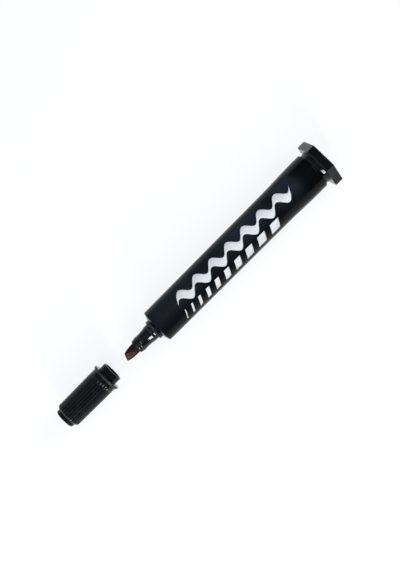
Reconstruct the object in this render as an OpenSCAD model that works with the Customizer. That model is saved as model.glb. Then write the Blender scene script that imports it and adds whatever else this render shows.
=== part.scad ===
// Chisel tip marker, uncapped: a tapered barrel closed by a hexagonal tail plug,
// a nib holder pressed into the front, a fibre nib fed by an ink reservoir,
// and a lined push-on cap drawn straight off the nib.
// The marker lies along +X with its tail face at the origin, the nib and the cap
// towards +X and one flat of the hexagon underneath. Sizes are in millimetres.

/* [Tail plug] */
// Width of the hexagon across its flats
hex_flats = 20.9; // [19.6:0.1:24]
// Thickness of the hexagon along the marker
hex_len = 4.2; // [3:0.1:7]
// Bevel along the edges of the hexagon
hex_bevel = 0.35; // [0.1:0.05:0.8]
// Height turned off the six corners of the hexagon
corner_cut = 0.05; // [0.02:0.01:0.5]
// Step from the barrel in to the neck under the hexagon
neck_step = 0.87; // [0.4:0.01:1.2]
// Length of the neck that shows between the hexagon and the barrel
neck_len = 2.4; // [2:0.1:5]
// Growth of the neck's radius where it runs into the hexagon
neck_swell = 0.5; // [0.1:0.05:0.9]
// Length of that swelling
neck_swell_len = 1.8; // [0.5:0.1:2]
// Length of the spigot inside the barrel
spigot_len = 9; // [6:0.5:14]
// Wall of the hollow spigot
spigot_wall = 1.5; // [1.2:0.1:2.5]
// Thickness of the closed end of the plug
plug_end_wall = 2; // [1.2:0.1:3]
// Number of gripping beads on the spigot
bead_count = 2; // [1:1:4]
// Height of a gripping bead
bead_h = 0.15; // [0.05:0.05:0.3]

/* [Barrel] */
// Length of the barrel from its rear rim to its front edge
barrel_len = 97.5; // [80:0.5:120]
// Diameter at the front edge
barrel_front_d = 16.7; // [15.5:0.1:18]
// Diameter at the waist, where the rear flare starts
barrel_waist_d = 17.4; // [16:0.1:18.5]
// Diameter of the band at the rear rim
barrel_rear_d = 18.3; // [17.4:0.1:19.2]
// Length of the straight band at the rear rim
rear_band_len = 4.5; // [2:0.5:8]
// Length of the flare between the band and the waist
flare_len = 20; // [10:1:30]
// Wall of the barrel
barrel_wall = 1.4; // [1:0.1:2]
// Rounding of the rear rim
rim_round = 0.5; // [0.2:0.1:0.9]
// Rounding of the front edge
edge_round = 0.45; // [0.1:0.05:0.8]
// Rise of the conical shoulder in front of the edge
shoulder_len = 1.1; // [0.8:0.1:3]
// Flat land round the collar, on top of the shoulder
shoulder_land = 0.4; // [0.1:0.1:1]
// Thickness of the front wall behind the shoulder
front_wall = 2.6; // [2:0.1:4]
// Wall of the inner socket that grips the nib holder
socket_wall = 1.2; // [0.8:0.1:2]

/* [Nib holder] */
// Length of the stem inside the barrel
stem_len = 10; // [7:0.5:16]
// Wall of the stem round the nib
stem_wall = 1.9; // [1.6:0.1:2.6]
// Step from the stem out to the collar
collar_step = 0.5; // [0.2:0.05:0.8]
// Length of the collar
collar_len = 1.6; // [0.8:0.1:3]
// Rounding of the collar's front edge
collar_round = 0.35; // [0.1:0.05:0.6]
// Length of the nose in front of the collar
nose_len = 10.4; // [9:0.1:14]
// Wall round the nib where the cap seats, in front of the collar
base_wall = 1.5; // [1.4:0.05:1.9]
// Length of the cylindrical seat for the cap
seat_len = 1.6; // [1:0.1:2.5]
// Length of the hollow curve in front of the seat
hollow_len = 4.8; // [2:0.1:5]
// Wall round the nib at the slimmest part of the nose
waist_wall = 1; // [0.8:0.05:1.3]
// Length of the ring behind the lip
ring_len = 1.2; // [0.6:0.1:1.5]
// Height of that ring
ring_h = 0.17; // [0.05:0.01:0.3]
// Wall round the nib at the lip
lip_wall = 0.92; // [0.6:0.02:1.2]
// Length of the lip
lip_len = 1.6; // [1:0.1:2.5]
// Depth of the groove between the ring and the lip
lip_groove = 0.15; // [0.05:0.05:0.3]
// Rounding of the lip's front edge
lip_round = 0.4; // [0.1:0.05:0.5]
// Number of air channels along the nib
vent_count = 4; // [2:1:6]
// Width of an air channel
vent_w = 0.8; // [0.4:0.1:1.2]

/* [Nib] */
// Diameter of the nib
nib_d = 5; // [4:0.1:6]
// Length of the nib that shows
nib_out = 7.1; // [5:0.1:9]
// Whole length of the nib
nib_len = 40; // [34:0.5:50]
// Angle between the two faces of the chisel
chisel_angle = 42; // [30:1:60]
// Width of the blunt edge
edge_w = 0.7; // [0.3:0.05:1.2]
// Slant of the edge
edge_slant = 17; // [0:1:35]
// Turn of the chisel about the marker, from the top flat of the hexagon
chisel_turn = 57; // [0:1:180]
// Length of the tapered rear end
nib_taper_len = 3; // [1:0.5:6]

/* [Ink reservoir] */
// Thickness of the film round the fibre core
film_t = 0.2; // [0.1:0.05:0.4]
// Room between the film and the barrel's bore
reservoir_room = 0.16; // [0.05:0.01:0.4]
// Length of film past each end of the core
film_past = 0.3; // [0:0.1:1]

/* [Cap] */
// Distance that the cap stands off the nib
cap_off = 7.7; // [0:0.1:40]
// Length of the cap's liner
liner_len = 30.4; // [26:0.1:40]
// Wall of the liner at its mouth
liner_wall = 0.82; // [0.6:0.02:1.2]
// Rounding of the liner's mouth
mouth_round = 0.25; // [0.1:0.05:0.5]
// Thickness of the liner's closed end
liner_end_wall = 1.3; // [0.8:0.1:2.5]
// Length of the liner's cylindrical seat
liner_seat_len = 2.5; // [1.5:0.1:4]
// Narrowing of the liner's bore from the seat to the closed end, on the radius
bore_draft = 0.35; // [0.1:0.05:0.5]
// Narrowing of the liner's outside from the mouth to the closed end, on the radius
liner_draft = 0.08; // [0.02:0.02:0.2]
// Rounding of the liner's closed end
liner_round = 0.8; // [0.3:0.1:1.2]
// Length of the liner that shows in front of the flange
skirt_len = 3.5; // [2:0.1:6]
// Length of the liner that shows behind the sleeve
knob_len = 1.9; // [1:0.1:4]
// Wall of the sleeve at its flange
sleeve_wall = 1.4; // [1.2:0.1:2.2]
// Narrowing of the sleeve from the flange to its end, on the radius
sleeve_draft = 0.25; // [0.05:0.05:0.3]
// Chamfer at the closed end of the sleeve
sleeve_chamfer = 0.9; // [0.4:0.1:1]
// Reach of the flange past the sleeve
flange_reach = 0.7; // [0.3:0.1:2]
// Thickness of the flange
flange_t = 1.2; // [1.1:0.1:2.5]
// Rounding of the flange's edges
flange_round = 0.4; // [0.1:0.05:0.5]
// Cove between the flange and the sleeve
flange_cove = 0.2; // [0.05:0.05:0.5]
// Length of the plain band between the flange and the ribs
band_len = 2.6; // [1:0.1:6]
// Number of ribs round the sleeve
rib_count = 30; // [16:1:40]
// Width of the groove between two ribs
groove_w = 0.62; // [0.3:0.02:0.9]
// Depth of the groove between two ribs
groove_depth = 0.3; // [0.1:0.02:0.4]

/* [Fits] */
// Radial clearance between pieces pressed together
press_gap = 0.03; // [0.01:0.01:0.08]
// Radial clearance between the cap's liner and the nib holder
cap_gap = 0.07; // [0.03:0.01:0.15]
// Clearance between the ends of pieces that meet face to face
end_gap = 0.05; // [0.02:0.01:0.2]

/* [Hidden] */
$fn = 96;

// Length over which the bore for the plug narrows to the bore for the ink
bore_step = 1;
// Places along the marker, from the tail face
x_rim = hex_len + neck_len;
x_plug_end = x_rim + spigot_len;
x_bore = x_plug_end + bore_step;
x_band = x_rim + rear_band_len;
x_waist = x_band + flare_len;
x_front = x_rim + barrel_len;
x_collar = x_front + shoulder_len;
x_floor = x_collar - front_wall;
x_stem = x_collar - stem_len;
x_base = x_collar + collar_len;
x_lip_end = x_base + nose_len;
x_lip = x_lip_end - lip_len;
x_ring = x_lip - ring_len;
x_nib = x_lip_end + nib_out;
x_nib_rear = x_nib - nib_len;
x_film_rear = x_bore;
x_film_front = x_stem - end_gap;
x_mouth = x_nib + cap_off;
x_liner_end = x_mouth + liner_len;
x_flange = x_mouth + skirt_len;
x_sleeve = x_flange + flange_t;
x_sleeve_end = x_liner_end - knob_len;

// Radii that fit into each other, from the nib outwards
nib_r = nib_d / 2;
bore_r = nib_r + press_gap;
stem_r = nib_r + stem_wall;
hole_r = stem_r + press_gap;
collar_r = stem_r + collar_step;
base_r = nib_r + base_wall;
nose_waist_r = nib_r + waist_wall;
lip_r = nib_r + lip_wall;
seat_r = base_r + cap_gap;
liner_r = seat_r + liner_wall;
sleeve_bore_r = liner_r + press_gap;
sleeve_r = sleeve_bore_r + sleeve_wall;
flange_r = sleeve_r + flange_reach;

// Radii of the barrel and of the plug in it
front_r = barrel_front_d / 2;
waist_r = barrel_waist_d / 2;
rear_r = barrel_rear_d / 2;
neck_r = rear_r - neck_step;
plug_bore_r = rear_r - barrel_wall;
spigot_r = plug_bore_r - press_gap;

// Radii of the tapered bore for the ink, of the film in it and of the core in the film
function ink_bore(x) = waist_r - barrel_wall + (front_r - waist_r) * (x - x_bore) / (x_floor - x_bore);
function film_r(x) = ink_bore(x) - reservoir_room;
function core_r(x) = film_r(x) - film_t - press_gap;

// Length by which a cut runs past the solid that it cuts
past = 1;
// Straight pieces in a quarter of a small rounding, and in a long curve
arc_steps = 6;
curve_steps = 12;

// Points of an arc about a centre, between two angles
function arc(centre, r, from, to) =
    [for (i = [0:arc_steps]) let (a = from + (to - from) * i / arc_steps) centre + r * [cos(a), sin(a)]];

// Points of a low bow over a straight stretch of the marker, at a radius
function bow(r, from, to, rise) =
    let (half = (to - from) / 2, bow_r = (half * half + rise * rise) / (2 * rise), a = asin(half / bow_r))
    arc([r + rise - bow_r, from + half], bow_r, -a, a);

// Soft S curve between two points, along the marker at both ends
function s_curve(from, to) =
    [for (i = [0:curve_steps]) let (t = i / curve_steps)
        [from.x + (to.x - from.x) * (1 - cos(180 * t)) / 2, from.y + (to.y - from.y) * t]];

// Hollow curve between two points, steep at the first and along the marker at the second
function hollow(from, to) =
    [for (i = [0:curve_steps]) let (t = i / curve_steps)
        [from.x + (to.x - from.x) * sin(90 * t), from.y + (to.y - from.y) * t]];

// Turns an outline of [radius, distance along the marker] about the marker's axis
module turned(outline) {
    rotate([0, 90, 0]) rotate_extrude() polygon(outline);
}

// Repeats its children evenly about the marker's axis, for shapes drawn along +Z
module around(count) {
    rotate([0, 90, 0]) for (i = [0:count - 1]) rotate(360 * i / count) children();
}

// Hexagonal prism with turned corners and bevelled edges, one flat underneath
module hex_head() {
    corner_r = hex_flats / 2 / cos(30);
    bevel_side = hex_bevel * sqrt(2);
    difference() {
        intersection() {
            rotate([0, 90, 0]) rotate(30) cylinder(h = hex_len, r = corner_r, $fn = 6);
            rotate([0, 90, 0]) cylinder(h = hex_len, r = corner_r - corner_cut);
        }
        around(6) for (x = [0, hex_len])
            translate([hex_flats / 2, 0, x]) rotate([0, 45, 0])
                cube([bevel_side, 2 * corner_r, bevel_side], center = true);
    }
}

// Low ring round the spigot that grips the bore of the barrel
module grip_bead(x) {
    slim_r = spigot_r - bead_h;
    turned([[slim_r - spigot_wall / 2, x - 2 * bead_h], [slim_r, x - 2 * bead_h], [spigot_r, x - bead_h],
            [spigot_r, x + bead_h], [slim_r, x + 2 * bead_h], [slim_r - spigot_wall / 2, x + 2 * bead_h]]);
}

module tail_plug() {
    slim_r = spigot_r - bead_h;
    root = [[0, hex_len / 2], [neck_r + neck_swell, hex_len / 2]];
    neck = hollow([neck_r + neck_swell, hex_len], [neck_r, hex_len + neck_swell_len]);
    spigot = [[slim_r, x_rim], [slim_r, x_plug_end - bead_h], [slim_r - bead_h, x_plug_end],
              [0, x_plug_end]];
    color("#18191b") difference() {
        union() {
            hex_head();
            turned(concat(root, neck, [[neck_r, x_rim]], spigot));
            for (i = [1:bead_count]) grip_bead(x_rim + spigot_len * i / (bead_count + 1));
        }
        rotate([0, 90, 0]) translate([0, 0, plug_end_wall])
            cylinder(h = x_plug_end - plug_end_wall + past, r = slim_r - spigot_wall);
    }
}

module barrel() {
    land_r = collar_r + shoulder_land;
    shoulder_tilt = atan(shoulder_len / (front_r - land_r));
    rim = arc([rear_r - rim_round, x_rim + rim_round], rim_round, -90, 0);
    flare = s_curve([rear_r, x_band], [waist_r, x_waist]);
    edge = arc([front_r - edge_round, x_front - edge_round], edge_round, 0, 90 - shoulder_tilt);
    socket_r = hole_r + socket_wall;
    socket = [[hole_r, x_collar], [hole_r, x_stem], [socket_r, x_stem], [socket_r, x_floor]];
    bore = [[ink_bore(x_floor), x_floor], [ink_bore(x_bore), x_bore], [plug_bore_r, x_plug_end + end_gap],
            [plug_bore_r, x_rim]];
    color("#191b20") turned(concat(rim, flare, edge, [[land_r, x_collar]], socket, bore));
}

module nib_holder() {
    stem = [[bore_r, x_stem], [stem_r, x_stem], [stem_r, x_collar]];
    collar = arc([collar_r - collar_round, x_base - collar_round], collar_round, 0, 90);
    x_seat = x_base + seat_len;
    nose = hollow([base_r, x_seat], [nose_waist_r, x_seat + hollow_len]);
    ring = bow(nose_waist_r, x_ring, x_lip, ring_h);
    groove = [[lip_r - lip_groove, x_lip + lip_groove], [lip_r, x_lip + 2 * lip_groove]];
    lip = arc([lip_r - lip_round, x_lip_end - lip_round], lip_round, 0, 90);
    color("#17191d") difference() {
        turned(concat(stem, [[collar_r, x_collar]], collar, [[base_r, x_base]], nose, ring, groove, lip,
                      [[bore_r, x_lip_end]]));
        around(vent_count) translate([bore_r, 0, x_stem - past])
            cylinder(h = past + x_base + seat_len - x_stem, d = vent_w);
    }
}

// Round rod of the nib with its tapered rear end, grown by a clearance
module nib_rod(clearance) {
    r = nib_r + clearance;
    turned([[0, x_nib_rear - clearance], [r / 2, x_nib_rear - clearance], [r, x_nib_rear + nib_taper_len],
            [r, x_nib], [0, x_nib]]);
}

// Wedge that leaves the chisel, its blunt edge across the origin and +Z forwards
module chisel_wedge() {
    half_edge = edge_w / 2;
    half_w = nib_r + past;
    face_len = (half_w - half_edge) / tan(chisel_angle / 2);
    back = -2 * nib_len;
    rotate([-edge_slant, 0, 0]) rotate([90, 0, 0]) linear_extrude(height = 4 * nib_len, center = true)
        polygon([[-half_edge, 0], [half_edge, 0], [half_w, -face_len], [half_w, back], [-half_w, back],
                 [-half_w, -face_len]]);
}

module nib() {
    color("#2a1a19") intersection() {
        nib_rod(0);
        rotate([0, 90, 0]) rotate(180 - chisel_turn)
            translate([0, 0, x_nib - nib_r * tan(edge_slant)]) chisel_wedge();
    }
}

module reservoir_core() {
    rear = x_film_rear + film_past;
    front = x_film_front - film_past;
    color("#2b2b33") difference() {
        turned([[0, rear], [core_r(rear), rear], [core_r(front), front], [0, front]]);
        nib_rod(press_gap);
    }
}

module reservoir_film() {
    outside = [[film_r(x_film_rear), x_film_rear], [film_r(x_film_front), x_film_front]];
    inside = [for (point = [outside[1], outside[0]]) point - [film_t, 0]];
    color("#c9ccd2") turned(concat(outside, inside));
}

// Groove with a ball end at the plain band, sloped with the draft of the sleeve
module rib_groove() {
    slope = atan(sleeve_draft / (x_sleeve_end - x_sleeve));
    start_r = sleeve_r - tan(slope) * band_len;
    cutter_r = (groove_w * groove_w / 4 + groove_depth * groove_depth) / (2 * groove_depth);
    x_start = x_sleeve + band_len + cutter_r;
    translate([start_r - groove_depth + cutter_r, 0, x_start]) rotate([0, -slope, 0]) {
        cylinder(h = x_sleeve_end - x_start + past, r = cutter_r, $fn = 32);
        sphere(r = cutter_r, $fn = 32);
    }
}

// Radius of the sleeve's bore, which follows the draft of the liner
function sleeve_bore(x) = sleeve_bore_r - liner_draft * (x - x_mouth) / liner_len;

module cap_sleeve() {
    end_r = sleeve_r - sleeve_draft;
    edge_r = min(flange_round, flange_reach * 0.7);
    cove_r = min(flange_cove, flange_reach - edge_r);
    front_edge = arc([flange_r - edge_r, x_flange + edge_r], edge_r, -90, 0);
    back_edge = arc([flange_r - edge_r, x_sleeve - edge_r], edge_r, 0, 90);
    cove = arc([sleeve_r + cove_r, x_sleeve + cove_r], cove_r, 270, 180);
    chamfer = [[end_r, x_sleeve_end - sleeve_chamfer], [end_r - sleeve_chamfer, x_sleeve_end]];
    color("#121315") difference() {
        turned(concat([[sleeve_bore(x_flange), x_flange]], front_edge, back_edge, cove, chamfer,
                      [[sleeve_bore(x_sleeve_end), x_sleeve_end]]));
        around(rib_count) rib_groove();
    }
}

module cap_liner() {
    end_r = liner_r - liner_draft;
    x_bottom = x_liner_end - liner_end_wall;
    mouth = arc([liner_r - mouth_round, x_mouth + mouth_round], mouth_round, -90, 0);
    knob = arc([end_r - liner_round, x_liner_end - liner_round], liner_round, 0, 90);
    bore = [[0, x_bottom], [seat_r - bore_draft, x_bottom], [seat_r, x_mouth + liner_seat_len],
            [seat_r, x_mouth]];
    color("#141517") turned(concat(mouth, knob, [[0, x_liner_end]], bore));
}

barrel();
tail_plug();
nib_holder();
nib();
reservoir_core();
reservoir_film();
cap_sleeve();
cap_liner();
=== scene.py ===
from math import cos, pi, radians, sin, tan

import bpy
import numpy as np
from mathutils import Matrix, Vector


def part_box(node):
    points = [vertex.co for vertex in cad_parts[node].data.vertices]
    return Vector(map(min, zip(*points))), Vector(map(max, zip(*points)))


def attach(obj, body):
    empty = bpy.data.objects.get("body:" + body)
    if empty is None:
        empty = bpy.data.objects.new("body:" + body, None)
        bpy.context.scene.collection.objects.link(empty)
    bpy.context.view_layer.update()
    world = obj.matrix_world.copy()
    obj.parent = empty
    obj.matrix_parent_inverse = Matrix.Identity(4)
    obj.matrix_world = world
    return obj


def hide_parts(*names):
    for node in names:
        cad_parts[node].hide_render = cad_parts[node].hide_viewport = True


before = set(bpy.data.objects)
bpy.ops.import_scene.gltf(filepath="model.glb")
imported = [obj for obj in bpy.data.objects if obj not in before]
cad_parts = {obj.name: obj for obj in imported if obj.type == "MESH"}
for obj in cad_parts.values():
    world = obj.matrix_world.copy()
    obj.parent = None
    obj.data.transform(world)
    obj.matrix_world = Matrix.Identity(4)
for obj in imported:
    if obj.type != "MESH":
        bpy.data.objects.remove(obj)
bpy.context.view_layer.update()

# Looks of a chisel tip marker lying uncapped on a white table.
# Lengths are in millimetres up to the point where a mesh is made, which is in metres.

MM = 0.001


def corners_of(node):
    """Lowest and highest corner of a solid, in millimetres."""
    low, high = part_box(node)
    return np.array(low) / MM, np.array(high) / MM


# Places along the marker and radii, read from the solids
PLUG_LOW, PLUG_HIGH = corners_of("tail_plug")
BARREL_LOW, BARREL_HIGH = corners_of("barrel")
HOLDER_LOW, HOLDER_HIGH = corners_of("nib_holder")
NIB_LOW, NIB_HIGH = corners_of("nib")
SLEEVE_LOW, SLEEVE_HIGH = corners_of("cap_sleeve")
LINER_LOW, LINER_HIGH = corners_of("cap_liner")
X_RIM = BARREL_LOW[0]
X_COLLAR = BARREL_HIGH[0]
X_PLUG_END = PLUG_HIGH[0]
X_STEM = HOLDER_LOW[0]
X_LIP_END = HOLDER_HIGH[0]
X_NIB = NIB_HIGH[0]
X_NIB_REAR = NIB_LOW[0]
X_FLANGE = SLEEVE_LOW[0]
X_SLEEVE_END = SLEEVE_HIGH[0]
X_MOUTH = LINER_LOW[0]
X_LINER_END = LINER_HIGH[0]
HEX_APOTHEM = PLUG_HIGH[2]
HEX_CORNER = PLUG_HIGH[1]
REAR_R = BARREL_HIGH[2]
COLLAR_R = HOLDER_HIGH[2]
NIB_R = NIB_HIGH[2]
FLANGE_R = SLEEVE_HIGH[2]
LINER_R = LINER_HIGH[2]
FLOOR_Z = PLUG_LOW[2]

# Clearances of the fits
PRESS_GAP = 0.03
CAP_GAP = 0.07
END_GAP = 0.05

# Roundings of moulded corners: the usual one, a crisp one, and where a blind bore meets its floor
MOULD_ROUND = 0.12
CRISP_ROUND = 0.05
FLOOR_ROUND = 0.4
# Steps of a rounding's arc, and distance of the rows beside it that keep smooth shading off flat stretches
ARC_STEPS = 6
SUPPORT = 0.06
# Columns round a turned piece, and their angles from +Z to +Y
AROUND = 192
ALL_ROUND = np.arange(AROUND) * 2 * pi / AROUND

# Sunk mark in a closed end, with the stub where the plastic came in
GATE_R = 1.5
GATE_DEPTH = 0.2
GATE_STUB_R = 0.45
GATE_DISH_ROUND = 0.1
GATE_LAND = 0.5

# Tail plug. HEX_SUPPORT is how far the head's support rows lie from its edges, in edge roundings.
HEX_SIDES = 6
HEX_HALF = pi / HEX_SIDES
HEX_LEN = 4.2
HEX_EDGE_ROUND = 0.35
HEX_EDGE_ROWS = 7
HEX_SUPPORT = 1.2
FLAT_COLUMNS = 21
CORNER_COLUMNS = 10
NECK_STEP = 0.87
NECK_LAND = 0.6
NECK_SWELL = 0.5
NECK_CONE_LEN = 1.1
NECK_SWELL_LEN = 1.8
NECK_FADE_ROWS = 9
SPIGOT_WALL = 1.5
PLUG_END_WALL = 2.0
PLUG_FLOOR_R = 1.0
BEAD_H = 0.15
BEAD_COUNT = 2

# Barrel. BARREL_SEAM is the gap in the bore between the first and the last row of its outline.
FRONT_R = 8.35
WAIST_R = 8.7
REAR_BAND_LEN = 4.5
FLARE_LEN = 20.0
FLARE_ROWS = 25
BARREL_WALL = 1.4
RIM_ROUND = 0.5
FRONT_ROUND = 0.45
SHOULDER_LEN = 1.1
SHOULDER_LAND = 0.4
FRONT_WALL = 2.6
SOCKET_WALL = 1.2
BORE_STEP = 1.0
BORE_STEP_REAR_ROUND = 0.2
BORE_STEP_FRONT_ROUND = 0.3
BARREL_SEAM = 1.0

# Nib holder
COLLAR_STEP = 0.5
STEM_R = COLLAR_R - COLLAR_STEP
COLLAR_LEN = 1.6
COLLAR_ROUND = 0.35
BASE_WALL = 1.5
BASE_R = NIB_R + BASE_WALL
SEAT_LEN = 1.6
SEAT_FLARE = 0.1
SEAT_FLARE_LEN = 0.7
SEAT_FLARE_ROUND = 1.5
SEAT_SUPPORT = 0.2
HOLLOW_LEN = 4.8
HOLLOW_STEPS = 24
NOSE_WAIST_WALL = 1.0
NOSE_WAIST_R = NIB_R + NOSE_WAIST_WALL
RING_LEN = 1.2
RING_H = 0.17
RING_SKEW = 1.6
RING_ROWS = 25
LIP_WALL = 0.92
LIP_R = NIB_R + LIP_WALL
LIP_LEN = 1.6
LIP_GROOVE = 0.15
LIP_GROOVE_ROUND = 0.06
LIP_ROUND = 0.4
LIP_FALL = 0.12
LIP_ROWS = 13
VENT_COUNT = 4
VENT_W = 0.8

# Nib. CUT_SWELL moves its cut faces out. The gauge that shapes them is centred GAUGE_DEPTH inside the
# lip, and its rows crowd towards the tip by the power GAUGE_CROWD.
CHISEL_ANGLE = radians(42)
CHISEL_TURN = radians(57)
EDGE_SLANT = radians(17)
EDGE_W = 0.7
CUT_SWELL = 1.05
GAUGE_POWER = 13
GAUGE_DEPTH = 0.6
GAUGE_ROWS = 96
GAUGE_CROWD = 1.3
ROD_START = 0.3
NIB_TAPER_LEN = 3.0
NIB_TAPER_ROUND = 0.5
NIB_REAR_ROUND = 0.2

# Cap. SLEEVE_SEAM is the gap in the bore between the first and the last row of the sleeve's outline.
# Rows more than RIB_MARGIN above the bore belong to the ribbed outside.
FLANGE_H = 0.7
SLEEVE_R = FLANGE_R - FLANGE_H
SLEEVE_DRAFT = 0.25
SLEEVE_CHAMFER = 0.9
CHAMFER_ROUND = 0.15
CHAMFER_SUPPORT = 0.2
SLEEVE_SEAM = 0.5
FLANGE_T = 1.2
FLANGE_ROUND = 0.3
FLANGE_FALL = 0.11
FLANGE_COVE = 0.2
FLANGE_ROWS = 17
BAND_LEN = 1.6
BAND_SUPPORT = 0.1
RIB_COUNT = 30
RIB_ROWS = 24
RIB_COLUMNS = 5
RIB_MARGIN = 0.2
GROOVE_W = 0.62
GROOVE_DEPTH = 0.3
GROOVE_COLUMNS = 11
SCOOP_LEN = 1.3
SCOOP_DEPTH = 0.15
SCOOP_ROWS = 11
SCOOP_END = 0.4
SCOOP_END_ROWS = 7
SEAT_R = BASE_R + CAP_GAP
LINER_SEAT_LEN = 2.5
LINER_SEAT_ROUND = 0.3
LINER_END_WALL = 1.3
LINER_FLOOR_R = 0.5
LINER_DRAFT = 0.08
LINER_ROUND = 0.8
LINER_ARC_STEPS = 8
MOUTH_ROUND = 0.25
MOUTH_INNER_ROUND = 0.2
BORE_DRAFT = 0.35
# Where a groove's scoop starts, is full and has sunk to the groove, and where the chamfer starts
X_RAMP = X_FLANGE + FLANGE_T + BAND_LEN
X_SCOOP = X_RAMP + SCOOP_LEN
X_GROOVE = X_SCOOP + SCOOP_END
X_CHAMFER = X_SLEEVE_END - SLEEVE_CHAMFER

# Print on the barrel: a broad and fine pen stroke, and bars from broad to fine
INK_T = 0.02
STROKE_X = (21.0, 90.0)
STROKE_WAVES = 7
STROKE_SWING = 2.0
STROKE_PEN = 4.0
STROKE_PEN_TURN = radians(62)
STROKE_GRID = (421, 9)
BAR_X = 33.0
BAR_ARC = (4.9, 9.8)
BAR_WIDTHS = np.arange(5.0, 0.4, -0.5)
BAR_GAP = 3.3
BAR_SLANT = tan(radians(20))
BAR_GRID = (5, 15)


# Surfaces


def faces_of(corner, wrap):
    """Quads between neighbours on a grid of vertex numbers, whose columns close on themselves."""
    lower = corner if wrap else corner[:-1]
    upper = np.roll(corner, -1, 0) if wrap else corner[1:]
    return np.stack([lower, np.roll(lower, -1, 1), np.roll(upper, -1, 1), upper], -1).reshape(-1, 4)


def outward(points, quads):
    """The quads, turned round if the volume that they enclose is negative."""
    a, b, c, d = (points[quads[:, k]] for k in range(4))
    volume = np.sum(a * np.cross(b, c)) + np.sum(a * np.cross(c, d))
    return quads if volume > 0 else quads[:, ::-1]


def ringed(rows, poles=None):
    """Points and quads of a closed surface through rows of points that run round the marker's axis.

    The last row joins the first, unless the axis points in poles close the two ends.
    """
    count, around = rows.shape[:2]
    corner = np.arange(count * around).reshape(count, around)
    points = rows.reshape(-1, 3)
    if poles is None:
        return points, outward(points, faces_of(corner, True))
    first, last = (np.full((1, around), count * around + k) for k in range(2))
    points = np.concatenate([points, np.array(poles)])
    return points, outward(points, faces_of(np.concatenate([first, corner, last]), False))


def meshed(name, points, quads, material):
    """Smooth mesh object of points in millimetres and quads.

    A quad with one corner twice, at a pole, becomes a triangle.
    """
    mesh = bpy.data.meshes.new(name)
    mesh.from_pydata((points * MM).tolist(), [], [list(dict.fromkeys(quad)) for quad in quads.tolist()])
    mesh.shade_smooth()
    mesh.materials.append(material)
    made = bpy.data.objects.new(name, mesh)
    bpy.context.scene.collection.objects.link(made)
    return made


def made_piece(name, parts, body, material, node=None, attributes=None):
    """Piece that rides on a body, of some closed surfaces, each given as points and quads.

    Attributes are named values, one for each point.
    """
    starts = np.cumsum([0] + [len(points) for points, _ in parts])
    points = np.concatenate([points for points, _ in parts])
    quads = np.concatenate([quads + start for (_, quads), start in zip(parts, starts)])
    piece = meshed(name, points, quads, material)
    for key, values in (attributes or {}).items():
        piece.data.attributes.new(key, "FLOAT", "POINT").data.foreach_set("value", values)
    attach(piece, body)
    if node:
        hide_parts(node)


def sharp(point):
    """An outline's point (x, r) as a corner with no rounding."""
    return (*point, 0)


def rounded(corners, steps=ARC_STEPS):
    """Outline through corners (x, r, rounding): an inner corner becomes an arc that touches both its sides.

    A support point beside each end of an arc keeps smooth shading off the straight stretch that follows.
    """
    corner = np.array([c[:2] for c in corners], float)
    stretches = [corner[:1]]
    for before, here, after, (_, _, size) in zip(corner, corner[1:], corner[2:], corners[1:]):
        u = (before - here) / np.linalg.norm(before - here)
        v = (after - here) / np.linalg.norm(after - here)
        half = np.arccos(np.clip(u @ v, -1, 1)) / 2
        centre = here + (u + v) / np.linalg.norm(u + v) * size / np.sin(half)
        start = here + u * size / np.tan(half) - centre
        end = here + v * size / np.tan(half) - centre
        sweep = pi - 2 * half
        k = np.linspace(0, 1, steps + 1)[:, None]
        arc = (start * np.sin((1 - k) * sweep) + end * np.sin(k * sweep)) / np.sin(sweep)
        stretches.append(centre + arc)
    stretches.append(corner[-1:])
    outline = [stretches[0]]
    for here, after in zip(stretches, stretches[1:]):
        length = np.linalg.norm(after[0] - here[-1])
        if length > 3 * SUPPORT:
            share = np.array([[SUPPORT / length], [1 - SUPPORT / length]])
            outline.append(here[-1] + (after[0] - here[-1]) * share)
        outline.append(after)
    return np.concatenate(outline)


def at_angle(x, r, angle):
    """Grid of points at distance x along the marker, r from its axis and an angle from +Z to +Y."""
    x, r, angle = np.broadcast_arrays(x, r, angle)
    return np.stack([x, r * np.sin(angle), r * np.cos(angle)], -1)


def turned(outline, angle=ALL_ROUND):
    """Rows of points: an outline of (x, r) swept round the marker's axis."""
    return at_angle(outline[:, :1], outline[:, 1:], angle)


def gate_mark(x_face, inward):
    """Outline, from the axis outwards, of a shallow round dish in an end face, with a low stub in it."""
    x_stub = x_face + inward * GATE_DEPTH / 2
    x_dish = x_face + inward * GATE_DEPTH
    return rounded([(x_stub, GATE_STUB_R / 2, 0), (x_stub, GATE_STUB_R, CRISP_ROUND),
                    (x_dish, GATE_STUB_R + CRISP_ROUND, CRISP_ROUND),
                    (x_dish, GATE_R - GATE_DEPTH, GATE_DISH_ROUND), (x_face, GATE_R, MOULD_ROUND),
                    (x_face, GATE_R + GATE_LAND, 0)])


# Materials. A run is how fast a lengthwise pattern changes along the marker, against its change across it.


def linear(colour):
    """Linear RGBA of an sRGB hex colour."""
    srgb = np.array([int(colour[k:k + 2], 16) for k in (1, 3, 5)]) / 255
    return (*np.where(srgb <= 0.04045, srgb / 12.92, ((srgb + 0.055) / 1.055) ** 2.4), 1.0)


def grey(value):
    """Linear grey as a colour."""
    return (value, value, value, 1.0)


def per(size):
    """Texture scale at which a feature is about that many millimetres long."""
    return 1 / (size * MM)


def add(tree, kind, settings=None, values=None, links=None, stops=()):
    """Adds a node with its settings, its sockets' values and links, and any colour stops."""
    made = tree.nodes.new(kind)
    for key, value in (settings or {}).items():
        setattr(made, key, value)
    for key, value in (values or {}).items():
        made.inputs[key].default_value = value
    for key, source in (links or {}).items():
        tree.links.new(source, made.inputs[key])
    for place, _ in stops[2:]:
        made.color_ramp.elements.new(place)
    for number, (place, colour) in enumerate(stops):
        made.color_ramp.elements[number].position = place
        made.color_ramp.elements[number].color = colour
    return made


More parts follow.
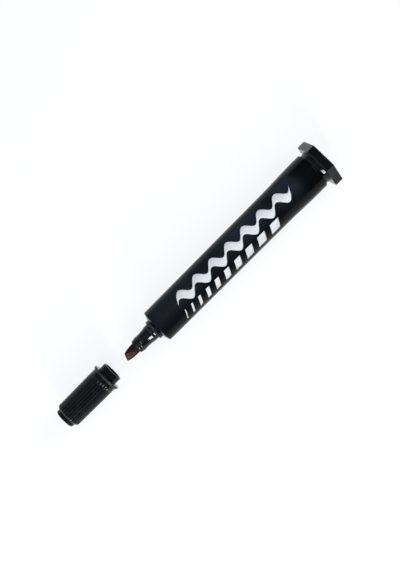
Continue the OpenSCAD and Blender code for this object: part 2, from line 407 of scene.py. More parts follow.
def new_material(name):
    """An empty node material with its output."""
    material = bpy.data.materials.new(name)
    material.use_nodes = True
    material.node_tree.nodes.clear()
    return material, material.node_tree, add(material.node_tree, "ShaderNodeOutputMaterial")


def moulded_polypropylene(name, dark, light, roughness, streak_len, gloss_level, rib_top_light=None):
    """Black polypropylene, injection moulded. The liner's polyethylene comes out of its tool alike.

    The tool leaves a satin skin: long faint flow streaks that change the gloss, a fine orange peel, and
    carbon black that is mottled a little. The peel is about 0.3 mm on the real one and is drawn at 0.8 mm.
    A gloss level of 0.5 is a flawless skin, and less is one that handling has dulled.
    Rib tops, given by an attribute, are painted paler and groove floors darker: painted shade in grooves.
    An edge that knocks against things, given by the attribute for wear, is scuffed dull and grey; on the
    flange that paler grey also stands as a painted highlight.
    """
    mottle_size = 6.0
    streak_w = 1.5
    peel_size = 0.8
    peel_depth = 0.02
    # Paler grey of a scuffed edge, that on the flange also stands as a painted highlight
    worn_sheen_grey = "#29292d"
    worn_weight = 1.5
    worn_dullness = 0.17
    tone_share = 0.5
    material, tree, output = new_material(name)
    place = add(tree, "ShaderNodeTexCoord").outputs["Object"]
    along = add(tree, "ShaderNodeMapping", values={"Scale": (streak_w / streak_len, 1, 1)},
                links={"Vector": place}).outputs[0]
    mottle = add(tree, "ShaderNodeTexNoise",
                 values={"Scale": per(mottle_size), "Detail": 4.0, "Roughness": 0.6},
                 links={"Vector": place}).outputs["Fac"]
    streaks = add(tree, "ShaderNodeTexNoise",
                  values={"Scale": per(streak_w), "Detail": 5.0, "Roughness": 0.6},
                  links={"Vector": along}).outputs["Fac"]
    peel = add(tree, "ShaderNodeTexNoise", values={"Scale": per(peel_size), "Detail": 2.0},
               links={"Vector": place}).outputs["Fac"]
    # Painted shade: rib tops are lifted to a paler colour, so groove floors read darker
    rib_light = add(tree, "ShaderNodeAttribute", {"attribute_name": "rib_top_light"}).outputs["Fac"]
    wear_and_sheen = add(tree, "ShaderNodeAttribute", {"attribute_name": "wear_and_sheen"}).outputs["Fac"]
    shade = add(tree, "ShaderNodeMath", {"operation": "ADD"}, links={0: mottle, 1: rib_light}).outputs[0]
    shade = add(tree, "ShaderNodeMath", {"operation": "MULTIPLY_ADD"}, {1: worn_weight},
                {0: wear_and_sheen, 2: shade}).outputs[0]
    # Mottle alone gives a tone of up to 0.35, a rib top with its painted light up to 0.85 and a worn edge
    # about 1
    tone = add(tree, "ShaderNodeMath", {"operation": "MULTIPLY"}, {1: tone_share}, {0: shade}).outputs[0]
    colour = add(tree, "ShaderNodeValToRGB", links={"Fac": tone},
                 stops=[(0.18, linear(dark)), (0.32, linear(light)), (0.75, linear(rib_top_light or light)),
                        (1.0, linear(worn_sheen_grey))]).outputs[0]
    gloss = add(tree, "ShaderNodeValToRGB", links={"Fac": streaks},
                stops=[(0.3, grey(roughness[0])), (0.7, grey(roughness[1]))]).outputs[0]
    gloss = add(tree, "ShaderNodeMath", {"operation": "MULTIPLY_ADD"}, {1: worn_dullness},
                {0: wear_and_sheen, 2: gloss}).outputs[0]
    bump = add(tree, "ShaderNodeBump", values={"Strength": 0.12, "Distance": peel_depth * MM},
               links={"Height": peel}).outputs[0]
    shader = add(tree, "ShaderNodeBsdfPrincipled", values={"IOR": 1.49, "Specular IOR Level": gloss_level},
                 links={"Base Color": colour, "Roughness": gloss, "Normal": bump})
    tree.links.new(shader.outputs[0], output.inputs[0])
    return material


def inked_fibre(name):
    """Bonded polyester fibre soaked with black ink: the nib.

    Fibres run along the rod, so the eye sees fine lengthwise streaks. The rod is wet and nearly black,
    while the ink on the cut faces has dried to a red-brown bronzing. Real fibres are 0.02 mm thick and
    are drawn in bundles of 0.35 mm.
    """
    bundle_w = 0.35
    bundle_depth = 0.06
    bundle_run = 0.12
    blot_size = 1.8
    tone_share = 0.4
    material, tree, output = new_material(name)
    place = add(tree, "ShaderNodeTexCoord").outputs["Object"]
    along = add(tree, "ShaderNodeMapping", values={"Scale": (bundle_run, 1, 1)},
                links={"Vector": place}).outputs[0]
    bundles = add(tree, "ShaderNodeTexNoise",
                  values={"Scale": per(bundle_w), "Detail": 5.0, "Roughness": 0.65},
                  links={"Vector": along}).outputs["Fac"]
    blots = add(tree, "ShaderNodeTexNoise", values={"Scale": per(blot_size), "Detail": 3.0},
                links={"Vector": place}).outputs["Fac"]
    cut = add(tree, "ShaderNodeAttribute", {"attribute_name": "cut_face"}).outputs["Fac"]
    mixed = add(tree, "ShaderNodeMath", {"operation": "ADD"}, links={0: bundles, 1: blots}).outputs[0]
    tone = add(tree, "ShaderNodeMath", {"operation": "ADD"}, links={0: mixed, 1: cut}).outputs[0]
    # The wet rod gets a tone of about 0.4 and a cut face of about 0.8
    scaled = add(tree, "ShaderNodeMath", {"operation": "MULTIPLY"}, {1: tone_share}, {0: tone}).outputs[0]
    colour = add(tree, "ShaderNodeValToRGB", links={"Fac": scaled},
                 stops=[(0.34, linear("#080404")), (0.46, linear("#220f0d")), (0.74, linear("#260d0c")),
                        (0.8, linear("#502e29")), (0.86, linear("#7d574f"))]).outputs[0]
    bump = add(tree, "ShaderNodeBump", values={"Strength": 0.5, "Distance": bundle_depth * MM},
               links={"Height": bundles}).outputs[0]
    shader = add(tree, "ShaderNodeBsdfPrincipled", values={"Roughness": 0.65, "IOR": 1.25},
                 links={"Base Color": colour, "Normal": bump})
    tree.links.new(shader.outputs[0], output.inputs[0])
    return material


def soaked_wadding(name):
    """Polyester wadding soaked with ink: the reservoir. Its crimped fibres give soft lengthwise lines."""
    line_w = 0.6
    line_depth = 0.1
    line_run = 0.15
    material, tree, output = new_material(name)
    place = add(tree, "ShaderNodeTexCoord").outputs["Object"]
    along = add(tree, "ShaderNodeMapping", values={"Scale": (line_run, 1, 1)},
                links={"Vector": place}).outputs[0]
    lines = add(tree, "ShaderNodeTexNoise", values={"Scale": per(line_w), "Detail": 6.0},
                links={"Vector": along}).outputs["Fac"]
    colour = add(tree, "ShaderNodeValToRGB", links={"Fac": lines},
                 stops=[(0.3, linear("#16161c")), (0.7, linear("#34343e"))]).outputs[0]
    bump = add(tree, "ShaderNodeBump", values={"Strength": 0.6, "Distance": line_depth * MM},
               links={"Height": lines}).outputs[0]
    shader = add(tree, "ShaderNodeBsdfPrincipled", values={"Roughness": 0.9},
                 links={"Base Color": colour, "Normal": bump})
    tree.links.new(shader.outputs[0], output.inputs[0])
    return material


def wrapped_film(name):
    """Thin polypropylene film, blown and wrapped: milky and glossy, with faint lengthwise creases."""
    crease_w = 2.0
    crease_depth = 0.05
    crease_run = 0.05
    material, tree, output = new_material(name)
    place = add(tree, "ShaderNodeTexCoord").outputs["Object"]
    along = add(tree, "ShaderNodeMapping", values={"Scale": (crease_run, 1, 1)},
                links={"Vector": place}).outputs[0]
    creases = add(tree, "ShaderNodeTexNoise", values={"Scale": per(crease_w), "Detail": 3.0},
                  links={"Vector": along}).outputs["Fac"]
    colour = add(tree, "ShaderNodeValToRGB", links={"Fac": creases},
                 stops=[(0.35, linear("#bfc4cc")), (0.65, linear("#d9dce2"))]).outputs[0]
    bump = add(tree, "ShaderNodeBump", values={"Strength": 0.3, "Distance": crease_depth * MM},
               links={"Height": creases}).outputs[0]
    shader = add(tree, "ShaderNodeBsdfPrincipled", values={"Roughness": 0.2, "IOR": 1.49},
                 links={"Base Color": colour, "Normal": bump})
    tree.links.new(shader.outputs[0], output.inputs[0])
    return material


def screen_ink(name):
    """White screen ink on the barrel: matt, with the grain of the mesh and slightly thin patches.

    A 120 thread screen has a mesh of 0.08 mm, drawn here at 0.5 mm.
    """
    grain_size = 0.5
    grain_depth = 0.01
    grain_share = 0.5
    patch_size = 5.0
    material, tree, output = new_material(name)
    place = add(tree, "ShaderNodeTexCoord").outputs["Object"]
    grain = add(tree, "ShaderNodeTexNoise", values={"Scale": per(grain_size), "Detail": 3.0},
                links={"Vector": place}).outputs["Fac"]
    patches = add(tree, "ShaderNodeTexNoise", values={"Scale": per(patch_size), "Detail": 2.0},
                  links={"Vector": place}).outputs["Fac"]
    mixed = add(tree, "ShaderNodeMath", {"operation": "MULTIPLY_ADD"}, {1: grain_share},
                {0: grain, 2: patches}).outputs[0]
    colour = add(tree, "ShaderNodeValToRGB", links={"Fac": mixed},
                 stops=[(0.5, linear("#dedfde")), (0.9, linear("#f0f0ee"))]).outputs[0]
    bump = add(tree, "ShaderNodeBump", values={"Strength": 0.1, "Distance": grain_depth * MM},
               links={"Height": grain}).outputs[0]
    shader = add(tree, "ShaderNodeBsdfPrincipled", values={"Roughness": 0.6, "IOR": 1.4},
                 links={"Base Color": colour, "Normal": bump})
    tree.links.new(shader.outputs[0], output.inputs[0])
    return material


# Pieces


def barrel_outside():
    """Outline of what shows of the barrel: round rim, band, flare, slow taper, front edge and shoulder.

    The flare is an S: half a wave of a cosine.
    """
    x_band = X_RIM + REAR_BAND_LEN
    bore_r = REAR_R - BARREL_WALL
    x_bore = (X_RIM + X_PLUG_END) / 2
    t = np.linspace(0, 1, FLARE_ROWS)
    flare = np.stack([x_band + FLARE_LEN * t, REAR_R + (WAIST_R - REAR_R) * (1 - np.cos(pi * t)) / 2], -1)
    rear = rounded([(x_bore, bore_r, 0), (X_RIM, bore_r, MOULD_ROUND), (X_RIM, REAR_R, RIM_ROUND),
                    (x_band, REAR_R, 0)])
    front = rounded([(x_band + FLARE_LEN, WAIST_R, 0), (X_COLLAR - SHOULDER_LEN, FRONT_R, FRONT_ROUND),
                     (X_COLLAR, COLLAR_R + SHOULDER_LAND, 0)])
    return np.concatenate([rear[:-1], flare, front[1:]])


def barrel_radius(x):
    """Outer radius of the barrel at a distance along the marker."""
    outline = barrel_outside()
    shown = outline[np.argmax(outline[:, 1]):]
    return np.interp(x, shown[:, 0], shown[:, 1])


def barrel(material):
    """The barrel's shell: its outside, the socket for the nib holder and the tapered bore, turned round."""
    hole_r = STEM_R + PRESS_GAP
    socket_r = hole_r + SOCKET_WALL
    x_floor = X_COLLAR - FRONT_WALL
    bore_r = REAR_R - BARREL_WALL
    outside = barrel_outside()
    inside = rounded([sharp(outside[-2]), (X_COLLAR, COLLAR_R + SHOULDER_LAND, MOULD_ROUND),
                      (X_COLLAR, hole_r, MOULD_ROUND), (X_STEM, hole_r, MOULD_ROUND),
                      (X_STEM, socket_r, MOULD_ROUND), (x_floor, socket_r, MOULD_ROUND),
                      (x_floor, FRONT_R - BARREL_WALL, MOULD_ROUND),
                      (X_PLUG_END + BORE_STEP, WAIST_R - BARREL_WALL, BORE_STEP_FRONT_ROUND),
                      (X_PLUG_END + END_GAP, bore_r, BORE_STEP_REAR_ROUND),
                      (outside[0, 0] + BARREL_SEAM, bore_r, 0)])
    outline = np.concatenate([outside[:-1], inside[1:]])
    made_piece("barrel_shell", [ringed(turned(outline))], "marker", material, "barrel")


def hexagon(angle, inset, corner_round):
    """Radius of a hexagon with round corners, drawn in by an inset, one flat facing up.

    Along a flat it is the apothem over the cosine of the angle from that flat's middle. In a corner it is
    the far crossing of the ray with the corner's circle.
    """
    apothem = HEX_APOTHEM - inset
    size = np.maximum(corner_round - inset, CRISP_ROUND)
    off = np.abs((angle + HEX_HALF) % (2 * HEX_HALF) - HEX_HALF)
    round_off = HEX_HALF - off
    centre = (apothem - size) / cos(HEX_HALF)
    flat = apothem / np.cos(off)
    half_chord = np.sqrt(np.maximum(size ** 2 - (centre * np.sin(round_off)) ** 2, 0))
    corner = centre * np.cos(round_off) + half_chord
    return np.where(np.tan(off) * apothem < (apothem - size) * tan(HEX_HALF), flat, corner)


def plug_columns(corner_round):
    """Angles of the plug's columns, spread evenly along a flat and more closely over a round corner."""
    half_corner = HEX_HALF - np.arctan((1 - corner_round / HEX_APOTHEM) * tan(HEX_HALF))
    flat = np.linspace(half_corner - HEX_HALF, HEX_HALF - half_corner, FLAT_COLUMNS + 1)[:-1]
    corner = np.linspace(HEX_HALF - half_corner, HEX_HALF + half_corner, CORNER_COLUMNS + 1)[:-1]
    return (np.arange(HEX_SIDES)[:, None] * 2 * pi / HEX_SIDES + np.concatenate([flat, corner])).ravel()


def plug_head(angle, corner_round):
    """Rows of hexagons over the head, whose edges are quarter circles with support rows beside them."""
    turn = np.linspace(0, pi / 2, HEX_EDGE_ROWS)
    inset = np.concatenate([[HEX_SUPPORT], 1 - np.sin(turn), [0, 0], 1 - np.cos(turn), [HEX_SUPPORT]])
    x = np.concatenate([[0], 1 - np.cos(turn), [HEX_SUPPORT, -HEX_SUPPORT], np.sin(turn) - 1, [0]])
    inset = HEX_EDGE_ROUND * inset[:, None]
    x = HEX_EDGE_ROUND * x[:, None]
    x[len(x) // 2:] += HEX_LEN
    return at_angle(x, hexagon(angle, inset, corner_round), angle)


def plug_stem():
    """Outline of the plug's neck, beaded spigot and bore.

    The neck leaves the head as a cone, whose slope then fades evenly to nothing, along a parabola.
    """
    neck_r = REAR_R - NECK_STEP
    spigot_r = REAR_R - BARREL_WALL - PRESS_GAP - BEAD_H
    bore_r = spigot_r - SPIGOT_WALL
    fade_len = NECK_SWELL_LEN - NECK_CONE_LEN
    slope = NECK_SWELL / (NECK_CONE_LEN + fade_len / 2)
    root = rounded([(HEX_LEN, neck_r + NECK_SWELL + NECK_LAND, 0),
                    (HEX_LEN, neck_r + NECK_SWELL, MOULD_ROUND),
                    (HEX_LEN + NECK_CONE_LEN, neck_r + slope * fade_len / 2, 0)])
    fade = np.linspace(fade_len, 0, NECK_FADE_ROWS)
    swell = np.stack([HEX_LEN + NECK_SWELL_LEN - fade, neck_r + slope * fade ** 2 / (2 * fade_len)], -1)
    beads = []
    for k in range(1, BEAD_COUNT + 1):
        x = X_RIM + (X_PLUG_END - X_RIM) * k / (BEAD_COUNT + 1)
        beads += [(x - 2 * BEAD_H, spigot_r, CRISP_ROUND), (x - BEAD_H, spigot_r + BEAD_H, CRISP_ROUND),
                  (x + BEAD_H, spigot_r + BEAD_H, CRISP_ROUND), (x + 2 * BEAD_H, spigot_r, CRISP_ROUND)]
    spigot = rounded([sharp(swell[-1]), (X_RIM, neck_r, MOULD_ROUND), (X_RIM, spigot_r, MOULD_ROUND),
                      *beads, (X_PLUG_END - BEAD_H, spigot_r, CRISP_ROUND),
                      (X_PLUG_END, spigot_r - BEAD_H, CRISP_ROUND), (X_PLUG_END, bore_r, MOULD_ROUND),
                      (PLUG_END_WALL, bore_r, FLOOR_ROUND), (PLUG_END_WALL, PLUG_FLOOR_R, 0)])
    return np.concatenate([root[:-1], swell, spigot[1:]])


def tail_plug(material):
    """The plug: rows of circles over its gate mark, hexagons over its head and circles over its stem."""
    sharp_corner = HEX_APOTHEM / cos(HEX_HALF)
    corner_round = (sharp_corner - HEX_CORNER) / (1 / cos(HEX_HALF) - 1)
    angle = plug_columns(corner_round)
    rows = np.concatenate([turned(gate_mark(0, 1), angle), plug_head(angle, corner_round),
                           turned(plug_stem(), angle)])
    surface = ringed(rows, [(GATE_DEPTH / 2, 0, 0), (PLUG_END_WALL, 0, 0)])
    made_piece("tail_plug_moulding", [surface], "marker", material, "tail_plug")


def holder_outline(bore_r, x_base, x_seat):
    """Outline of the holder: stem, collar, flared seat, hollow nose, low ring, groove and lip.

    The hollow is a quarter wave of a sine, steep at the seat. The ring is a parabola that a power skews
    towards the tail, and the lip's bow is half a parabola that falls to the front.
    """
    x_lip = X_LIP_END - LIP_LEN
    x_ring = x_lip - RING_LEN
    x_bow = x_lip + 2 * LIP_GROOVE
    stem = rounded([(x_seat, bore_r, 0), (X_STEM, bore_r, MOULD_ROUND), (X_STEM, STEM_R, MOULD_ROUND),
                    (X_COLLAR, STEM_R, CRISP_ROUND), (X_COLLAR, COLLAR_R, MOULD_ROUND),
                    (x_base, COLLAR_R, COLLAR_ROUND), (x_base, BASE_R + SEAT_FLARE, MOULD_ROUND),
                    (x_base + SEAT_FLARE_LEN, BASE_R, SEAT_FLARE_ROUND),
                    (x_seat - SEAT_SUPPORT, BASE_R, 0)])
    s = np.linspace(0, 1, HOLLOW_STEPS + 1)
    nose = np.stack([x_seat + HOLLOW_LEN * s, BASE_R + (NOSE_WAIST_R - BASE_R) * np.sin(s * pi / 2)], -1)
    t = np.linspace(-1, 1, RING_ROWS)
    ring = np.stack([x_ring + RING_LEN * ((t + 1) / 2) ** RING_SKEW,
                     NOSE_WAIST_R + RING_H * (1 - t ** 2)], -1)
    u = np.linspace(0, 1, LIP_ROWS)
    bow = np.stack([x_bow + (X_LIP_END - LIP_ROUND - x_bow) * u, LIP_R - LIP_FALL * u ** 2], -1)
    groove = rounded([sharp(ring[-1]), (x_lip + LIP_GROOVE, LIP_R - LIP_GROOVE, LIP_GROOVE_ROUND),
                      sharp(bow[0])])
    lip = rounded([sharp(bow[-1]), (X_LIP_END, LIP_R - 2 * LIP_FALL, LIP_ROUND / 2),
                   (X_LIP_END, bore_r, MOULD_ROUND), (x_seat + SUPPORT, bore_r, 0)])
    return np.concatenate([stem, nose, ring[:-1], groove[:-1], bow[:-1], lip])


def nib_holder(material):
    """The holder: its outline turned round, with air channels along the bore as far as the seat.

    A channel is a small circle round a point on the bore, so the bore's radius there is the far crossing of
    the ray with that circle.
    """
    bore_r = NIB_R + PRESS_GAP
    x_base = X_COLLAR + COLLAR_LEN
    x_seat = x_base + SEAT_LEN
    outline = holder_outline(bore_r, x_base, x_seat)
    off = (ALL_ROUND + pi / VENT_COUNT) % (2 * pi / VENT_COUNT) - pi / VENT_COUNT
    reach = np.maximum((VENT_W / 2) ** 2 - (bore_r * np.sin(off)) ** 2, 0)
    lift = np.where(reach > 0, np.maximum(bore_r * np.cos(off) + np.sqrt(reach) - bore_r, 0), 0)
    x, r = outline[:, :1], outline[:, 1:]
    vented = (x <= x_seat) & (r < bore_r + VENT_W / 2)
    rows = at_angle(x, r + vented * lift, ALL_ROUND)
    made_piece("nib_holder_moulding", [ringed(rows)], "marker", material, "nib_holder")


def nib(material):
    """The nib: a rod that ends in a soft-edged chisel.

    The front is a gauge surface round a point on the axis: in each direction the distance is one over the
    root of the sum of high powers of the direction's share of each bound. The bounds are the rod's radius,
    the two chisel faces and the blunt edge. The high power leaves a small rounding where two bounds meet.
    The cut bounds lie a little further out than the solid's faces, which makes up for what the rounding
    takes.
    """
    across = np.array([0, sin(CHISEL_TURN), cos(CHISEL_TURN)])
    edge = np.array([0, cos(CHISEL_TURN), -sin(CHISEL_TURN)])
    forward = np.array([cos(EDGE_SLANT), 0, 0]) - edge * sin(EDGE_SLANT)
    x_edge = X_NIB - NIB_R * tan(EDGE_SLANT)
    x_centre = X_LIP_END - GAUGE_DEPTH
    tip = np.array([x_edge - x_centre, 0, 0])
    bounds = [(forward, forward @ tip * CUT_SWELL)]
    for side in (1, -1):
        normal = forward * sin(CHISEL_ANGLE / 2) + across * side * cos(CHISEL_ANGLE / 2)
        bounds.append((normal, normal @ (tip + across * side * EDGE_W / 2) * CUT_SWELL))
    lean = np.linspace(0, 1, GAUGE_ROWS + 1)[1:, None] ** GAUGE_CROWD * pi / 2
    way = at_angle(np.cos(lean), np.sin(lean), ALL_ROUND)
    round_share = (np.sin(lean) / NIB_R) ** GAUGE_POWER
    cut_share = sum(np.maximum(way @ normal / distance, 0) ** GAUGE_POWER for normal, distance in bounds)
    total = round_share + cut_share
    front = way * total[..., None] ** (-1 / GAUGE_POWER) + [x_centre, 0, 0]
    rod = turned(rounded([(x_centre - ROD_START, NIB_R, 0),
                          (X_NIB_REAR + NIB_TAPER_LEN, NIB_R, NIB_TAPER_ROUND),
                          (X_NIB_REAR, NIB_R / 2, NIB_REAR_ROUND), (X_NIB_REAR, NIB_R / 4, 0)]))
    tip_pole = [x_centre + bounds[0][1] / bounds[0][0][0], 0, 0]
    surface = ringed(np.concatenate([front, rod]), [tip_pole, (X_NIB_REAR, 0, 0)])
    cut_face = np.concatenate([(cut_share / total).ravel(), np.zeros(rod.shape[0] * AROUND), [1, 0]])
    made_piece("nib_chisel", [surface], "marker", material, "nib", {"cut_face": cut_face})


def sleeve_side(x):
    """Radius of the sleeve's drafted side, a straight line from the flange to its end."""
    x_sleeve = X_FLANGE + FLANGE_T
    return SLEEVE_R - SLEEVE_DRAFT * (x - x_sleeve) / (X_SLEEVE_END - x_sleeve)


def sleeve_bore(x):
    """Radius of the sleeve's bore, which follows the liner's draft with a press gap."""
    return LINER_R + PRESS_GAP - LINER_DRAFT * (x - X_MOUTH) / (X_LINER_END - X_MOUTH)


def sleeve_outline():
    """Outline of the sleeve: bore, flange, drafted side and chamfer.

    The flange's edge is half a parabola that falls away to the back.
    """
    x_sleeve = X_FLANGE + FLANGE_T
    x_mid = (X_FLANGE + X_SLEEVE_END) / 2
    x_band = X_RAMP - BAND_SUPPORT
    bore_front = sleeve_bore(X_FLANGE)
    bore_end = sleeve_bore(X_SLEEVE_END)
    bore_mid = (bore_front + bore_end) / 2
    end_r = sleeve_side(X_SLEEVE_END)
    k = np.linspace(0, 1, FLANGE_ROWS)
    edge = np.stack([X_FLANGE + FLANGE_ROUND + (FLANGE_T - 2 * FLANGE_ROUND) * k,
                     FLANGE_R - FLANGE_FALL * k ** 2], -1)
    front = rounded([(x_mid, bore_mid, 0), (X_FLANGE, bore_front, MOULD_ROUND),
                     (X_FLANGE, FLANGE_R - FLANGE_FALL, FLANGE_ROUND / 2), sharp(edge[0])])
    back = rounded([sharp(edge[-1]), (x_sleeve, FLANGE_R - 2 * FLANGE_FALL, FLANGE_ROUND / 2),
                    (x_sleeve, SLEEVE_R, FLANGE_COVE), (x_band, sleeve_side(x_band), 0)])
    x_ribs = np.concatenate([np.linspace(X_RAMP, X_SCOOP, SCOOP_ROWS),
                             np.linspace(X_SCOOP, X_GROOVE, SCOOP_END_ROWS)[1:],
                             np.linspace(X_GROOVE + SUPPORT, X_CHAMFER - CHAMFER_SUPPORT, RIB_ROWS)])
    ribs = np.stack([x_ribs, sleeve_side(x_ribs)], -1)
    chamfer = rounded([sharp(ribs[-1]), (X_CHAMFER, end_r, CHAMFER_ROUND),
                       (X_SLEEVE_END, end_r - SLEEVE_CHAMFER, MOULD_ROUND),
                       (X_SLEEVE_END, bore_end, MOULD_ROUND), (x_mid + SLEEVE_SEAM, bore_mid, 0)])
    return np.concatenate([front[:-1], edge, back[1:], ribs, chamfer[1:]])


def rib_columns(cutter_r):
    """Angles of the sleeve's columns, and how far each lies aside of its groove's line.

    In a groove the columns crowd to both edges by a sine. Those on a rib count as a whole radius aside.
    """
    groove_half = np.arcsin(cutter_r / SLEEVE_R)
    pitch = 2 * pi / RIB_COUNT
    off = np.concatenate([groove_half * np.sin(np.linspace(-pi / 2, pi / 2, GROOVE_COLUMNS)),
                          np.linspace(groove_half, pitch - groove_half, RIB_COLUMNS + 2)[1:-1]])
    angle = (np.arange(RIB_COUNT)[:, None] * pitch + off).ravel()
    aside = SLEEVE_R * np.sin(np.tile(np.where(off > groove_half, pi / 2, off), RIB_COUNT))
    return angle, aside


def cap_sleeve(material):
    """The ribbed sleeve: its turned outline, lowered by round grooves that start as scoops.

    The cut at a point is the round cutter's depth there: the root of its radius squared less the square of
    the distance from the groove's line, less what the cutter's radius has over the groove's depth.
    """
    cutter_r = (GROOVE_W ** 2 / 4 + GROOVE_DEPTH ** 2) / (2 * GROOVE_DEPTH)
    angle, aside = rib_columns(cutter_r)
    outline = sleeve_outline()
    x, r = outline[:, :1], outline[:, 1:]
    depth = np.interp(x, [X_RAMP, X_SCOOP, X_GROOVE], [0, SCOOP_DEPTH, GROOVE_DEPTH])
    cut = np.maximum(np.sqrt(np.maximum(cutter_r ** 2 - aside ** 2, 0)) - (cutter_r - depth), 0)
    ribbed = (x >= X_RAMP) & (r > sleeve_bore(X_SLEEVE_END) + RIB_MARGIN)
    rows = at_angle(x, np.where(ribbed, np.minimum(r, sleeve_side(x) - cut), r), angle)
    # Painted shade in the grooves: 1 on rib tops gives the paler colour, 0 at a groove's floor the darker
    # one
    rib_top_light = np.where(ribbed, 1 - cut / GROOVE_DEPTH, 0).ravel()
    # The flange's edge is scuffed duller, and its paler grey also paints a highlight line along it
    flange_edge = (x >= X_FLANGE + FLANGE_ROUND) & (r > SLEEVE_R + FLANGE_COVE)
    wear_and_sheen = np.repeat(np.where(flange_edge, 1.0, 0.0), len(angle))
    made_piece("cap_sleeve_ribbed", [ringed(rows)], "cap", material, "cap_sleeve",
               {"rib_top_light": rib_top_light, "wear_and_sheen": wear_and_sheen})


def cap_liner(material):
    """The liner: a drafted cup with a round mouth and a round closed end, turned round."""
    end_r = LINER_R - LINER_DRAFT
    x_bottom = X_LINER_END - LINER_END_WALL
    gate = gate_mark(X_LINER_END, -1)
    cup = rounded([sharp(gate[-1]), (X_LINER_END, end_r, LINER_ROUND), (X_MOUTH, LINER_R, MOUTH_ROUND),
                   (X_MOUTH, SEAT_R, MOUTH_INNER_ROUND),
                   (X_MOUTH + LINER_SEAT_LEN, SEAT_R, LINER_SEAT_ROUND),
                   (x_bottom, SEAT_R - BORE_DRAFT, FLOOR_ROUND), (x_bottom, LINER_FLOOR_R, 0)],
                  LINER_ARC_STEPS)
    surface = ringed(turned(np.concatenate([gate, cup[1:]])),
                     [(X_LINER_END - GATE_DEPTH / 2, 0, 0), (x_bottom, 0, 0)])
    made_piece("cap_liner_moulding", [surface], "cap", material, "cap_liner")


def ink_slab(x, arc):
    """Closed slab of ink over a grid of places (x, distance round the barrel from its top towards +Y).

    Its top lies an ink's thickness above the barrel's surface and its underside as much below it.
    """
    radius = barrel_radius(x)
    angle = arc / WAIST_R
    points = np.concatenate([at_angle(x, radius + side * INK_T, angle).reshape(-1, 3) for side in (1, -1)])
    top = np.arange(x.size).reshape(x.shape)
    rim = np.concatenate([top[:-1, 0], top[-1, :-1], top[:0:-1, -1], top[0, :0:-1]])
    upper = np.stack([top[:-1, :-1], top[1:, :-1], top[1:, 1:], top[:-1, 1:]], -1).reshape(-1, 4)
    wall = np.stack([np.roll(rim, -1), rim, rim + x.size, np.roll(rim, -1) + x.size], -1)
    return points, outward(points, np.concatenate([upper, upper[:, ::-1] + x.size, wall]))


def barrel_print(material):
    """The stroke is a slanted pen edge carried along a sine wave. A bar is a slanted parallelogram."""
    u, v = np.meshgrid(np.linspace(0, 1, STROKE_GRID[0]), np.linspace(-0.5, 0.5, STROKE_GRID[1]),
                       indexing="ij")
    x = STROKE_X[0] + (STROKE_X[1] - STROKE_X[0]) * u + STROKE_PEN * v * cos(STROKE_PEN_TURN)
    arc = STROKE_SWING * np.sin(2 * pi * STROKE_WAVES * u) + STROKE_PEN * v * sin(STROKE_PEN_TURN)
    slabs = [ink_slab(x, arc)]
    u, v = np.meshgrid(np.linspace(0, 1, BAR_GRID[0]), np.linspace(0, 1, BAR_GRID[1]), indexing="ij")
    arc = BAR_ARC[0] + (BAR_ARC[1] - BAR_ARC[0]) * v
    starts = BAR_X + np.concatenate([[0], np.cumsum(BAR_WIDTHS + BAR_GAP)[:-1]])
    for start, width in zip(starts, BAR_WIDTHS):
        slabs.append(ink_slab(start + width * u + BAR_SLANT * (arc - BAR_ARC[0]), arc))
    made_piece("barrel_print", slabs, "marker", material)


barrel(moulded_polypropylene("barrel_polypropylene", dark="#080808", light="#0b0b0c",
                             roughness=(0.08, 0.12), streak_len=40, gloss_level=0.12))
tail_plug(moulded_polypropylene("plug_polypropylene", dark="#070707", light="#0a0a0a",
                                roughness=(0.07, 0.11), streak_len=6, gloss_level=0.25))
nib_holder(moulded_polypropylene("holder_polypropylene", dark="#080808", light="#0b0b0c",
                                 roughness=(0.08, 0.12), streak_len=8, gloss_level=0.33))
# On the sleeve, the paler rib tops against darker grooves are painted shade
cap_sleeve(moulded_polypropylene("sleeve_polypropylene", dark="#030303", light="#050506",
                                 roughness=(0.1, 0.14), streak_len=12, gloss_level=0.28, rib_top_light="#131316"))
cap_liner(moulded_polypropylene("liner_polyethylene", dark="#060606", light="#080809",
                                roughness=(0.12, 0.16), streak_len=12, gloss_level=0.17))
nib(inked_fibre("nib_inked_fibre"))
barrel_print(screen_ink("barrel_screen_ink"))
for node, material in (("reservoir_core", soaked_wadding("reservoir_wadding")),
                       ("reservoir_film", wrapped_film("reservoir_wrap"))):
    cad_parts[node].material_slots[0].material = material


# Table, light and camera

# White sweep
SWEEP_R = 3000.0
COVE_R = 450.0
COVE_ROWS = 13
FLOOR_WHITE = 0.25
FLOOR_GLOW = 0.8

# Light of the surround along the marker: 0 lies beyond the tail, 0.5 straight above it and 1 beyond the nib
SURROUND_ALONG = (
    # Dark behind the tail
    (0.456, (0.2, 0.2, 0.2)),
    # Arch on the tail's side, and the dim gap in front of it
    (0.464, (1.9, 2.7, 4.1)), (0.479, (1.6, 2.25, 3.4)),
    (0.488, (0.6, 0.8, 1.1)), (0.5, (0.35, 0.42, 0.52)),
    # Broader and dimmer arch on the nib's side
    (0.506, (1.5, 1.9, 2.6)), (0.518, (1.5, 1.9, 2.6)),
    (0.521, (1.15, 1.45, 2.2)), (0.531, (1.15, 1.45, 2.2)),
    # Dim stretch that the cap mirrors, and a little more light beyond it
    (0.54, (0.5, 0.57, 0.72)), (0.556, (0.3, 0.32, 0.38)), (0.59, (0.3, 0.32, 0.37)),
    (0.62, (0.34, 0.39, 0.49)), (0.7, (0.32, 0.36, 0.44)))
# Share of it that is left across the marker: 0 lies towards -Y and 1 towards +Y
SURROUND_ACROSS = ((0.0, 0.75), (0.5, 1.0), (0.76, 0.55), (0.92, 0.25))

# Camera, in metres from the origin and in millimetres of lens and sensor
VIEW_TILT = radians(8.0)
VIEW_ROLL = radians(134.95)
VIEW_DISTANCE = 0.483
VIEW_ALONG = 0.0778
VIEW_ASIDE = 0.00047
VIEW_LENS = 68.9
VIEW_SENSOR = 36.0


